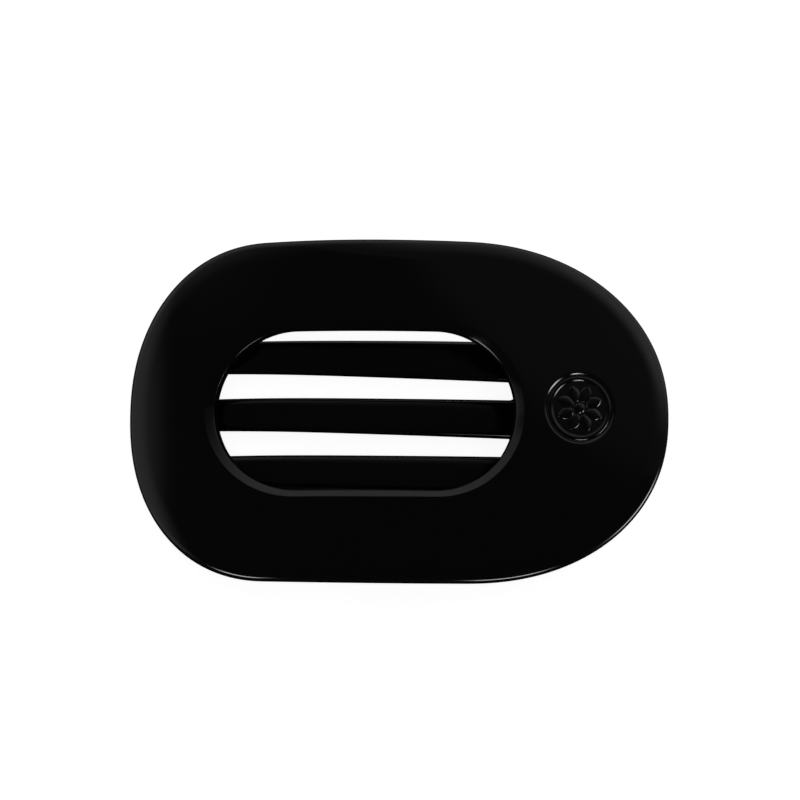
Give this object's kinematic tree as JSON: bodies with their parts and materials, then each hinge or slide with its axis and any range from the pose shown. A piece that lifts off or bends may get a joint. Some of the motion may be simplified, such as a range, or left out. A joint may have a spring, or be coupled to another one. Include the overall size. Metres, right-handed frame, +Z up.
{
  "type": "barrette",
  "caption": "Flat claw-type hair barrette: an arched oval plate with a long round-ended window over a sprung forked jaw with a thumb lever.",
  "frame": {"origin": "centre of the clip's footprint, on the surface that it lies on", "axes": "+X along the length towards the hinged end, +Y across the clip, +Z up out of the front plate's show face"},
  "size_m": [0.089, 0.0564, 0.0163],
  "materials": {
    "plate_plastic": "high-gloss jet black moulded plastic",
    "jaw_plastic": "gloss jet black moulded plastic with faint moulding flow",
    "pin_steel": "turned steel",
    "spring_steel": "drawn spring wire"
  },
  "bodies": {
    "plate": {"front_plate": "plate_plastic", "hinge_pin": "pin_steel", "torsion_spring": "spring_steel"},
    "jaw": {"rear_jaw": "jaw_plastic"}
  },
  "joints": [
    {"name": "jaw_hinge", "type": "hinge", "parent": "plate", "child": "jaw", "pos_m": [0.025, 0, 0.0078], "axis": [0, -1, 0], "range_deg": [0, 23], "stiffness_Nm_per_rad": 0.06, "springref_deg": -34.38, "deforming": ["torsion_spring"]}
  ]
}
